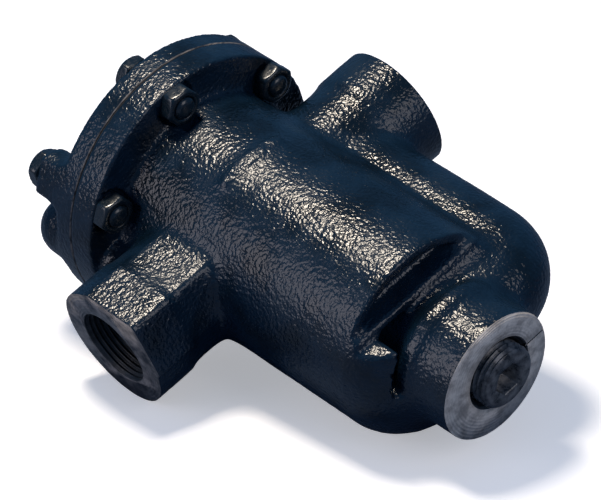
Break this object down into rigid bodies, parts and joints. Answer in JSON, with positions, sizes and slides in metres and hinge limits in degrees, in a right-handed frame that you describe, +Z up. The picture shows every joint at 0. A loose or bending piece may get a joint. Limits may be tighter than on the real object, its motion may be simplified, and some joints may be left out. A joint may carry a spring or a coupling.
{
  "type": "inverted-bucket steam trap",
  "caption": "Cast-iron inverted-bucket steam trap with side ports on one line, a bolted round cap, an inlet passage down its side and a strainer hub closed by a socket plug.",
  "frame": {"origin": "centre of the inlet port's mouth", "axes": "+X with the flow to the outlet port, +Z up the barrel to the cap, +Y to the side"},
  "size_m": [0.127, 0.0966, 0.1694],
  "materials": {
    "enamelled_iron": "glossy blue-black enamel over a sand-cast skin",
    "enamelled_steel": "the same enamel over hex heads and nuts",
    "blackened_steel": "black oxide with worn thread crests",
    "gasket_fibre": "compressed graphite and fibre sheet",
    "stainless_steel": "drawn and pressed stainless steel",
    "hardened_steel": "ground and hardened"
  },
  "bodies": {
    "housing": {"body": "enamelled_iron", "cap": "enamelled_iron", "cap_gasket": "gasket_fibre", "long_cap_bolt": "enamelled_steel", "cap_bolts": "enamelled_steel", "cap_nuts": "enamelled_steel", "blowdown_plug": "blackened_steel", "strainer_screen": "stainless_steel", "inlet_tube": "stainless_steel", "valve_seat": "hardened_steel", "guide_pin_plate": "stainless_steel", "guide_pin_front": "stainless_steel", "guide_pin_rear": "stainless_steel", "plate_screws": "stainless_steel"},
    "bucket": {"bucket": "stainless_steel", "bucket_clip": "stainless_steel", "clip_rivets": "stainless_steel"},
    "lever": {"lever": "stainless_steel", "valve_retainer": "stainless_steel", "valve": "hardened_steel"}
  },
  "joints": [
    {"name": "bucket_lift", "type": "slide", "parent": "housing", "child": "bucket", "axis": [0, 0, 1], "range_m": [0, 0.004]},
    {"name": "lever_tilt", "type": "hinge", "parent": "housing", "child": "lever", "pos_m": [0.0835, 0, 0.0322], "axis": [0, 1, 0], "range_deg": [0, 12]}
  ],
  "couplings": [
    {"joint": "lever_tilt", "follows": "bucket_lift", "rad_per_m": 50}
  ]
}
